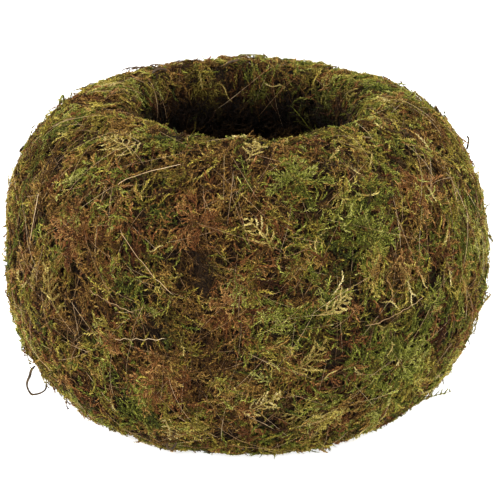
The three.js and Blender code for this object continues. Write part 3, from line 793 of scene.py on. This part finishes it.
# Painted shade on the ribs, under their leaves:
FROND_CORE_PAINTED_SHADE = 0.5  # how light the ribs are, under their leaves
RIB_POINTS = 9
RIB_RADIUS = 0.24 * MM
STALK = 0.14  # the share of the rib that comes up out of the moss, bare
TIP_REST = 2.6 * MM  # a frond whose tip is higher than this lifts towards it


def span(roots, tips, arc):
    """Lengths and headings over the wall from roots to tips, with the wall's radius at an arc."""
    rise = tips[:, 1] - roots[:, 1]
    across = (tips[:, 0] - roots[:, 0]) * radius_at(arc)
    return np.hypot(across, rise), np.arctan2(rise, across)


def add_fronds(strands, ends, pairs, leaflet, tint, rest=(1.2, 2.1), curl=FROND_CURL, spread=0.8,
               leaves=BRANCHLET_LEAVES):
    """Pinnate fronds from roots to tips: a rib with curved branchlets, all of them leafy.

    `leaflet` is the longest branchlet's share of the frond's length, `rest` how high the rib lies.
    """
    roots, tips = (np.array(side, float) for side in zip(*ends))
    length, heading = span(roots, tips, 0.5 * (roots[:, 1] + tips[:, 1]))
    count = len(roots)
    share = np.linspace(0, 1, RIB_POINTS)
    top = rng.uniform(*rest, (count, 1)) * MM + 0.5 * MM * np.sin(math.pi * share)
    lift = np.maximum(tips[:, 2] - TIP_REST, 0)[:, None] * share**2
    sunk = np.clip(share / STALK, 0, 1)
    heights = roots[:, 2][:, None] * (1 - sunk) + (top + lift) * sunk
    curls = curl * rng.uniform(0.7, 1.4, count)
    rib = route(roots[:, 0], roots[:, 1], heading - 0.2 * curls, length, curls, heights, sway=0.2)
    core = FROND_CORE_PAINTED_SHADE * painted_light_at(rib.arcs[:, 0])
    add_leafy(strands, rib, RIB_RADIUS, tint, RIB_LEAVES, core, root=1.0)
    for place in np.linspace(STALK, 0.95, pairs):
        size = math.sin(math.pi * (0.25 + 0.68 * place))
        for side in (-1, 1):
            start = point_along(rib, place + side * 0.4 / pairs + rng.normal(0, 0.02))
            add_branchlets(strands, start, side, leaflet * length * size, spread, tint, leaves)


def point_along(laid, place):
    """Where laid strands are at a share of their length."""
    at = np.clip(place, 0, 1) * (laid.angles.shape[1] - 1)
    k = min(int(at), laid.angles.shape[1] - 2)
    part = at - k
    return Laid(*(value[:, k] * (1 - part) + value[:, k + 1] * part for value in laid))


def add_branchlets(strands, start, side, length, spread, tint, leaves):
    """One branchlet of each frond, on one side of its rib."""
    count = len(length)
    heading = start.turn + side * rng.normal(spread, 0.25, count)
    curl = -side * rng.normal(0.7, 0.5, count)
    droop = rng.uniform(-0.3, 0.9, count)[:, None] * MM
    heights = start.heights[:, None] - droop * np.linspace(0, 1, 5) ** 2
    lengths = length * rng.uniform(0.6, 1.15, count)
    laid = route(start.angles, start.arcs, heading, lengths, curl, heights)
    tint = varied(tint, 0.1)
    core = FROND_CORE_PAINTED_SHADE * painted_light_at(laid.arcs[:, 0])
    add_leafy(strands, laid, 0.18 * MM, tint, leaves, core)


# ---- The moss ----

STRAY_LIFT = 2.6  # a few shoots rise up to this much farther out, in millimetres
STRAY_RARITY = 24
STANDING = 4.5  # and the tips of a few small fronds this much
STANDING_RARITY = 9


def sow(meshes, count, arcs, weights, spread, crowd):
    """Places for strands, the way that each one heads, and which of them each kind has.

    The weights say how common the kinds are, in the order of their meshes.
    """
    angle, arc, places = scatter(count, arcs, crowd)
    kinds = choose_kinds(places, arc, dict(zip(meshes, weights)))
    heading = lay_at(angle, arc, places) + rng.normal(0, spread, len(angle))
    heading += np.where(rng.random(len(angle)) < 0.5, math.pi, 0)
    return angle, arc, places, heading, kinds


def add_layer(meshes, count, arcs, weights, length, radius, low, high, curl=0.8, spread=0.5,
              sway=0.0, lift=0.0, crowd=0.0, bias=0.0, points=5, light=1.0):
    """One layer of strands of mixed kinds, laid over the wall."""
    angle, arc, places, heading, kinds = sow(meshes, count, arcs, weights, spread, crowd)
    count = len(angle)
    lengths = rng.uniform(*length, count) * MM
    clump = CLUMP_HEIGHT * CLUMPS(places)
    lows, highs = (rng.uniform(*reach, count) * MM + clump for reach in (low, high))
    if lift:
        lift = rng.random(count) ** 5 * lift + rng.random(count) ** STRAY_RARITY * STRAY_LIFT
    heights = arched(points, lows, highs, lift * MM)
    radii = tapered(rng.uniform(*radius, count) * MM, points)
    tint = tints(places, arc, bias)
    laid = route(angle, arc, heading, lengths, rng.normal(0, curl, count), heights, sway)
    for name, own in kinds.items():
        meshes[name].add(picked(laid, own), radii[own], tint[own], light * painted_light_at(arc[own]))
    return laid, kinds, tint


def add_shoots(meshes, *layer, leaves, leaning=0.95, **form):
    """Leafy shoots of mixed kinds, laid over the wall."""
    laid, kinds, tint = add_layer(meshes, *layer, **form)
    for name, own in kinds.items():
        leaf_shoots(meshes[name], picked(laid, own), tint[own], leaves, leaning)


def add_frond_layer(meshes, count, arcs, weights):
    """Small pinnate fronds of mixed kinds, laid all over the wall."""
    angle, arc, places, heading, kinds = sow(meshes, count, arcs, weights, 0.7, 0.15)
    count = len(angle)
    half = 0.5 * rng.uniform(*FROND_LENGTH, count) * MM
    turn = half * np.cos(heading) / radius_at(arc, LEAST_RADIUS)
    rise = half * np.sin(heading)
    roots = np.stack([angle - turn, arc - rise, np.full(count, -0.8 * MM)], axis=1)
    tip_heights = rng.uniform(1.5, 3.6, count) + rng.random(count) ** STANDING_RARITY * STANDING
    tips = np.stack([angle + turn, arc + rise, tip_heights * MM], axis=1)
    tint = tints(places, arc)
    curl = rng.choice([-1, 1], count) * rng.uniform(0.3, 1.0, count)
    for name, own in kinds.items():
        add_fronds(meshes[name], list(zip(roots[own], tips[own])), 5, 0.32, tint[own],
                   rest=(0.2, 1.7), curl=curl[own], spread=0.9, leaves=(10, (0.8, 1.2), (0.22, 0.32)))


def add_moss():
    """From below: dark strands, wiry ones, shoots, small fronds, larger shoots, the foot's."""
    everywhere = (BASE_ARC - 4 * MM, LAST_ARC - 4 * MM)
    outside = (BASE_ARC - 1 * MM, NECK_ARC + 34 * MM)
    foot = (BASE_ARC - 2 * MM, BASE_ARC + 12 * MM)
    moss = {name: Strands() for name in ("dark", "brown", "olive", "green", "rust", "straw")}
    # The lowest strands are darkened, partly as painted shade under the layers above.
    add_layer(moss, 24000, everywhere, (0.35, 1.0, 0.6, 0.15, 0.3),
              length=(8, 18), radius=(0.15, 0.28), low=(-1.7, -0.7), high=(-0.8, 0.3), sway=0.25,
              bias=-0.2, light=0.2)
    add_layer(moss, 12000, outside, (0.12, 1.0, 0.8, 0.2, 0.22),
              length=(5, 13), radius=(0.14, 0.28), low=(-1.2, 0.0), high=(0.0, 1.3), curl=1.7,
              spread=0.9, sway=0.5, crowd=0.4, bias=-0.1, light=0.42)
    add_shoots(moss, 21000, outside, (0.2, 0.5, 1.0, 0.32, 0.15),
               length=(4, 9), radius=(0.16, 0.24), low=(-0.8, 0.3), high=(0.4, 1.7), curl=1.6,
               spread=0.8, sway=0.4, crowd=0.45, lift=1.6, points=4, light=0.4,
               leaves=(18, (1.0, 1.6), (0.24, 0.36)))
    add_frond_layer(moss, 1500, outside, (0.1, 0.45, 1.0, 0.35, 0.15, 0.05))
    add_shoots(moss, 2500, outside, (0.1, 0.4, 1.0, 0.35, 0.14, 0.06),
               length=(6, 12), radius=(0.2, 0.28), low=(-0.4, 0.6), high=(1.1, 2.4), curl=1.8,
               spread=0.8, sway=0.35, crowd=0.6, lift=1.8, bias=-0.02, light=0.45,
               leaves=(26, (1.1, 1.7), (0.3, 0.44)), leaning=0.85)
    add_shoots(moss, 900, foot, (0.8, 1.0, 0.7, 0.3),
               length=(3, 7), radius=(0.16, 0.24), low=(-0.6, 0.4), high=(0.6, 2.0), curl=1.2,
               spread=1.6, sway=0.4, lift=3.4, bias=-0.06, points=4, light=0.3,
               leaves=(14, (0.8, 1.3), (0.22, 0.32)))
    for kind, strands in moss.items():
        strands.pieces(f"{kind}_moss", kind)


# ---- The loose pieces, each with its CAD node's place and form ----

NEXT_TIP = 0.6  # a spray's tips reach more than this share of its longest frond
TIPS_APART = math.radians(35)
TANGLE_SHOOTS = 45  # over the middle of each spray
GROWN_CLEAR = 1.1 * MM  # what stands this far over the CAD wall has grown on it
STRAND_POINTS = 9  # the most points of a part that is a strand, and no frond
GRID = 0.001  # of a millimetre, on which the CAD wall's points are matched


def node_points(node):
    return np.array([vertex.co[:] for vertex in node.data.vertices])


def plan_of(points):
    """The middle of points, their distances from it round and along the wall, and their heights."""
    (middle_angle,), (middle_arc,), _ = on_chart(points.mean(axis=0)[None])
    angle, arc, height = on_chart(points)
    across = wrapped(angle - middle_angle) * radius_at(arc)
    return (middle_angle, middle_arc), np.stack([across, arc - middle_arc], axis=1), height


def chart_place(middle, at, height):
    """Angle, arc and height of a place at distances from the middle."""
    angle, arc = middle
    return angle + at[0] / radius_at(arc, LEAST_RADIUS), arc + at[1], height


def frond_ends(points):
    """Root and tip of a frond on the chart. The root is the end that lies lower."""
    middle, plan, height = plan_of(points)
    axis = np.linalg.svd(plan - plan.mean(axis=0), full_matrices=False)[2][0]
    along = plan @ axis
    ends = []
    for end in (along.min(), along.max()):
        close = np.abs(along - end) < 0.06 * np.ptp(along) + 0.1 * MM
        ends.append(chart_place(middle, plan[close].mean(axis=0), height[close].mean()))
    return sorted(ends, key=lambda end: end[2])


def spray_ends(points):
    """The middle of a spray, and its tips: the farthest point in each direction."""
    middle, plan, height = plan_of(points)
    distance = np.hypot(*plan.T)
    heading = np.arctan2(plan[:, 1], plan[:, 0])
    tips, left = [], np.ones(len(plan), bool)
    while (distance * left).max() > NEXT_TIP * distance.max():
        k = np.argmax(distance * left)
        tips.append(chart_place(middle, plan[k], height[k]))
        left &= np.abs(wrapped(heading - heading[k])) > TIPS_APART
    return middle, tips


def add_tangle(strands, centres, reaches, tint):
    """Short leafy shoots, laid every way over the middle of each spray."""
    angle, arc = np.repeat(centres, TANGLE_SHOOTS, axis=0).T
    count = len(angle)
    around = rng.uniform(0, 2 * math.pi, count)
    out = rng.uniform(0, 0.8, count) * np.repeat(reaches, TANGLE_SHOOTS)
    low, high = rng.uniform(-0.2, 1.2, count) * MM, rng.uniform(1.2, 2.4, count) * MM
    laid = route(angle + out * np.cos(around) / radius_at(arc), arc + out * np.sin(around),
                 around + rng.normal(0, 1.2, count), rng.uniform(3, 6.5, count) * MM,
                 rng.normal(0, 1.6, count), arched(5, low, high), sway=0.3)
    tint = varied(np.repeat(tint, TANGLE_SHOOTS), 0.16)
    radius = rng.uniform(0.18, 0.26, count) * MM
    add_leafy(strands, laid, radius, tint, (16, (0.8, 1.3), (0.2, 0.3)))


def grown_parts():
    """The CAD wall's own fronds and strands: the parts of its mesh that stand over it."""
    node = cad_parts["moss_wall"]
    cells = np.round(node_points(node) / (GRID * MM)).astype(int)
    cells, own = np.unique(cells, axis=0, return_inverse=True)
    points = cells * GRID * MM
    clear = on_chart(points)[2] > GROWN_CLEAR
    edges = own.ravel()[np.array([edge.vertices[:] for edge in node.data.edges])]
    edges = edges[clear[edges].all(axis=1)]
    part = np.arange(len(points))
    while np.ptp(part[edges], axis=1).any():
        np.minimum.at(part, edges, part[edges].min(axis=1, keepdims=True))
    return [points[clear & (part == k)] for k in np.unique(part[clear])]


def grown_ends(points):
    """Where a grown part comes out of the wall, its lowest point, and its far end."""
    middle, plan, height = plan_of(points)
    root = plan[np.argmin(height)]
    far = np.argmax(np.linalg.norm(plan - root, axis=1))
    return [chart_place(middle, root, 0.0), chart_place(middle, plan[far], height[far])]


def add_grown():
    """Fine fronds and curled shoots where the CAD wall has its plain ones."""
    parts = grown_parts()
    fronds = [grown_ends(part) for part in parts if len(part) > STRAND_POINTS]
    curls = [grown_ends(part) for part in parts if 4 < len(part) <= STRAND_POINTS]
    for first, kind in enumerate(("olive", "straw", "green")):
        strands = Strands()
        own = fronds[first::3]
        add_fronds(strands, own, 7, 0.36, rng.uniform(0.35, 0.8, len(own)))
        roots, tips = (np.array(side, float) for side in zip(*curls[first::3]))
        length, heading = span(roots, tips, roots[:, 1])
        heights = np.linspace(0, 1, 7)[None] ** 0.6 * np.minimum(tips[:, 2], 3.4 * MM)[:, None]
        laid = route(roots[:, 0], roots[:, 1], heading, length * 1.15,
                     rng.normal(0, 0.7, len(roots)), heights, sway=0.5)
        tint = rng.uniform(0.3, 0.8, len(roots))
        add_leafy(strands, laid, RIB_RADIUS, tint, RIB_LEAVES)
        strands.pieces(f"grown_{kind}", kind)


def nodes_named(*starts):
    return {name: node for name, node in sorted(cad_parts.items()) if name.startswith(starts)}


def add_sprays(start, kind):
    """Fronds from the middle of each CAD spray to its tips, under a tangle of short shoots."""
    nodes = nodes_named(start)
    strands = Strands()
    found = [spray_ends(node_points(node)) for node in nodes.values()]
    reaches, ends = [], []
    for (angle, arc), tips in found:
        radius = radius_at(arc)
        reaches.append(max(math.hypot((tip[0] - angle) * radius, tip[1] - arc) for tip in tips))
        for tip in tips:
            aside = rng.normal(0, 1.6, 2) * MM
            ends.append(((angle + aside[0] / radius, arc + aside[1], -0.6 * MM), tip))
    add_fronds(strands, ends, 8, 0.34, rng.uniform(0.25, 0.85, len(ends)), rest=(0.9, 2.0))
    centres = [centre for centre, _ in found]
    add_tangle(strands, centres, reaches, rng.uniform(0.35, 0.65, len(centres)))
    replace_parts(strands.pieces(f"{start}s", kind)[0], *nodes)


def add_single_fronds(name, starts, kind, tint, pairs, leaflet, **form):
    """One frond from the root to the tip of each CAD frond, sprig or tuft."""
    nodes = nodes_named(*starts)
    strands = Strands()
    ends = [frond_ends(node_points(node)) for node in nodes.values()]
    add_fronds(strands, ends, pairs, leaflet, rng.uniform(*tint, len(ends)), **form)
    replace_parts(strands.pieces(name, kind)[0], *nodes)


def middle_line(points, steps):
    """The middle line of a thin, nearly straight node, from one end to the other."""
    centre = points.mean(axis=0)
    axis = np.linalg.svd(points - centre, full_matrices=False)[2][0]
    along = (points - centre) @ axis
    order = np.argsort(along)
    share = np.linspace(0, 1, steps)
    smooth = [np.polyval(np.polyfit(along, points[:, k], 5), along[order[0]] + share * np.ptp(along))
              for k in range(3)]
    return np.stack(smooth, axis=1)


STEM_HEIGHT = 2.6 * MM
STEM_POINTS = 14


def add_stems():
    """Dry grass stems, thin and a little kinked, along the CAD stems."""
    nodes = nodes_named("grass_stem")
    strands = Strands()
    share = np.linspace(0, 1, STEM_POINTS)
    radius = np.interp(share, [0, 0.6, 1], [0.15, 0.13, 0.08]) * MM
    for node in nodes.values():
        angle, arc, height = on_chart(middle_line(node_points(node), STEM_POINTS))
        line, outward = over_wall(angle, arc, np.minimum(height, STEM_HEIGHT))
        line[1:-1] += rng.normal(0, 0.06, (STEM_POINTS - 2, 3)) * MM
        strands.add(Laid(line[None], outward[None]), radius, rng.uniform(0.6, 0.98, 1))
    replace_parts(strands.pieces("grass_stems", "stem")[0], *nodes)


KINK = 0.45 * MM
THICKENING = 0.24 * MM  # makes up for what the rounding takes off


def add_rounded(name, starts, material):
    """Wiry pieces: the CAD nodes' own meshes, a little kinked and rounded."""
    nodes = nodes_named(*starts)
    work = bmesh.new()
    for node in nodes.values():
        work.from_mesh(node.data)
    bmesh.ops.remove_doubles(work, verts=work.verts, dist=0.001 * MM)
    work.normal_update()
    for vertex in work.verts:
        kink = Vector([field(np.array(vertex.co)) for field in KINKS]) * KINK
        vertex.co += kink + vertex.normal * THICKENING
    mesh = bpy.data.meshes.new(name)
    work.to_mesh(mesh)
    work.free()
    piece = as_piece(name, mesh, material)
    rounding = piece.modifiers.new("rounding", "SUBSURF")
    rounding.levels = rounding.render_levels = 2
    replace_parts(piece, *nodes)


def add_loose_pieces():
    add_grown()
    add_sprays("green_spray", "green")
    add_sprays("rust_spray", "rust")
    add_single_fronds("straw_fronds", ["straw_frond"], "straw", (0.1, 0.6), 6, 0.42,
                      rest=(1.6, 2.6), spread=0.95, leaves=(20, (0.8, 1.2), (0.36, 0.48)))
    add_single_fronds("green_tufts", ["upper_tuft", "lower_tuft", "bright_sprig"], "green",
                      (0.5, 0.8), 7, 0.25)
    add_single_fronds("straw_tufts", ["tuft_at", "sprig_at"], "straw", (0.2, 0.5), 7, 0.25)
    add_stems()
    add_rounded("dark_ends", ["twig", "bark", "spur", "hook", "root_loop"],
                wiry_material("dark root", "#1d150c", "#4a3a26"))
    add_rounded("curled_sprig", ["curled_sprig"],
                wiry_material("curled sprig", "#3f4420", "#77763a"))


# ---- Loose strands ----

# Ends that stand off the outline: azimuth, height, heading over the wall (0 is along it, 90 is up),
# length and how far the tip stands out.
LOOSE_ENDS = {"dark": [
    (109, 125, 180, 6.0, 4.2), (-74, 3, -100, 4.5, 3.0), (-116, 6, -80, 4.0, 3.0),
    (-66, 3, -60, 5.0, 2.5), (-63, 3, -120, 4.0, 2.5), (-40, 16, -20, 2.5, 2.4),
    (174, 108, 80, 3.5, 2.4), (-5, 84, 80, 9.0, 1.6), (-98, 3, -70, 3.5, 2.0),
], "green": [
    (122, 125, 90, 3.5, 3.0), (80, 125, 20, 4.5, 3.4), (-2, 96, 60, 4.0, 3.2),
    (-150, 14, -60, 4.0, 3.2), (-141, 9, -80, 4.5, 3.4), (-172, 112, 110, 3.5, 2.8),
    (-8, 66, -70, 4.0, 2.8), (20, 119, 60, 4.5, 3.6), (14, 116, 100, 3.5, 3.0),
], "brown": [
    (52, 125, 150, 4.0, 3.2), (-135, 6, -60, 4.0, 2.8), (8, 104, 90, 4.0, 2.6),
]}


def add_loose_ends():
    """The dark ones are bare, and the others are leafy."""
    for kind, ends in LOOSE_ENDS.items():
        azimuth, height, heading, length, lift = (np.array(column, float) for column in zip(*ends))
        heights = lift[:, None] * MM * np.linspace(0, 1, 7)[None] ** 1.3
        laid = route(np.radians(azimuth), arc_at(height), np.radians(heading), length * MM,
                     rng.normal(0, 0.4, len(ends)), heights, sway=0.3)
        tint = rng.uniform(0.4, 0.8, len(ends))
        strands = Strands()
        strands.add(laid, tapered(0.32 * MM, 7), tint)
        if kind != "dark":
            leaf_shoots(strands, laid, tint, (16, (0.8, 1.2), (0.24, 0.34)))
        strands.pieces(f"{kind}_loose_ends", kind)


def add_hanging():
    """Loose strands that arch off the wall and hang into the neck of the hollow."""
    hanging = {"olive": Strands(), "brown": Strands()}
    rim = (CREST_ARC + 4 * MM, NECK_ARC + 8 * MM)
    add_layer(hanging, 70, rim, (1.0, 0.7), length=(6, 18), radius=(0.1, 0.17),
              low=(0.2, 1.0), high=(1.0, 2.8), curl=3.5, spread=0.6, bias=0.24, points=9)
    for kind, strands in hanging.items():
        strands.pieces(f"{kind}_hanging_strands", kind)


def add_hairs():
    """Long, thin, nearly straight fibres that lie over everything."""
    hairs = {"stem": Strands()}
    outside = (BASE_ARC + 4 * MM, CREST_ARC + 3 * MM)
    add_layer(hairs, 1200, outside, [1.0], length=(12, 38), radius=(0.04, 0.08),
              low=(0.4, 1.6), high=(1.4, 2.6), curl=0.25, spread=0.9, bias=0.15, points=6)
    hairs["stem"].pieces("fine_hairs", "stem")


# ---- Camera, light and floor ----

CAMERA_ELEVATION = math.radians(19)
CAMERA_DISTANCE = 1.5
CAMERA_LENS = 259.6
AIM = Vector((1.1 * MM, 0, 63.5 * MM))
FLOOR_SIZE = 30
FLOOR_GREY = 0.6
FLOOR_GLOW = 0.8
LIGHTS = {  # place, size and power
    "key": ((-0.7, -1.2, 1.1), 0.5, 24),
    "fill": ((1.3, -0.9, 0.9), 1.2, 7),
    "front": ((0.5, -1.6, 0.3), 0.5, 20),
    "top": ((-0.2, 0.3, 1.8), 0.8, 12),
    "back left": ((-1.55, 0.3, 0.65), 0.6, 27),
    "back right": ((1.45, 0.6, 0.65), 0.6, 20),
}


def add_camera():
    data = bpy.data.cameras.new("camera")
    data.lens = CAMERA_LENS
    data.sensor_width = 36
    camera = new_object("camera", data)
    back = Vector((0, -math.cos(CAMERA_ELEVATION), math.sin(CAMERA_ELEVATION)))
    camera.location = AIM + back * CAMERA_DISTANCE
    camera.rotation_euler = (-back).to_track_quat("-Z", "Y").to_euler()
    bpy.context.scene.camera = camera


def add_area_light(name, place, size, power):
    data = bpy.data.lights.new(name, "AREA")
    data.size = size
    data.energy = power
    light = new_object(name, data)
    light.location = place
    light.rotation_euler = (AIM - Vector(place)).to_track_quat("-Z", "Y").to_euler()


def add_floor():
    material, _, shader = new_material("pale floor", 0.9)
    set_inputs(shader, {"Base Color": (FLOOR_GREY, FLOOR_GREY, FLOOR_GREY, 1), "Specular IOR Level": 0,
                        "Emission Color": (1, 1, 1, 1), "Emission Strength": FLOOR_GLOW})
    bpy.ops.mesh.primitive_plane_add(size=FLOOR_SIZE)
    floor = bpy.context.object
    floor.name = "floor"
    floor.data.materials.append(material)


def add_studio():
    world = bpy.data.worlds.new("studio")
    world.use_nodes = True
    set_inputs(world.node_tree.nodes["Background"], {"Color": (1, 1, 1, 1), "Strength": 1})
    bpy.context.scene.world = world
    for name, (place, size, power) in LIGHTS.items():
        add_area_light(name, place, size, power)
    add_floor()
    bpy.context.scene.view_settings.view_transform = "Standard"


add_mat()
add_moss()
add_loose_pieces()
add_loose_ends()
add_hanging()
add_hairs()
add_camera()
add_studio()
